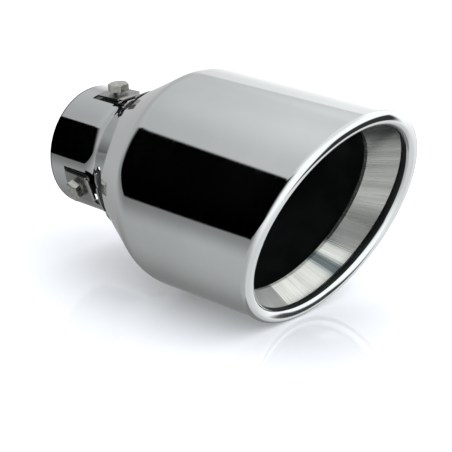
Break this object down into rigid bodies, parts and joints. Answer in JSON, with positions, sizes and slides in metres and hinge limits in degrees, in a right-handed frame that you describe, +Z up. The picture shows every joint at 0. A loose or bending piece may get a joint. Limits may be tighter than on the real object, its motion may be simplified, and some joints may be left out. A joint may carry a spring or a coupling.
{
  "type": "exhaust tip",
  "caption": "Clamp-on exhaust tip: narrow inlet with bolted pipe clamps, flared neck, wide round body and a slant-cut mouth with a rolled lip and an inner liner.",
  "frame": {"origin": "on the axis of the inlet, in the plane of the clamp bolts", "axes": "+X along the axis towards the mouth, +Z up, the mouth slanted so that its top reaches furthest along +X"},
  "size_m": [0.1922, 0.1158, 0.116],
  "materials": {
    "polished_shell": "mirror polished stainless sheet",
    "brushed_liner": "bright stainless with fine streaks along the taper",
    "strap_steel": "plain stainless strip",
    "bolt_steel": "satin stainless hexagon bolt"
  },
  "bodies": {
    "root": {"outer_shell": "polished_shell", "mouth_liner": "brushed_liner", "strap_top": "strap_steel", "strap_side": "strap_steel", "strap_rear": "strap_steel", "clamp_bolts": "bolt_steel"}
  },
  "joints": []
}
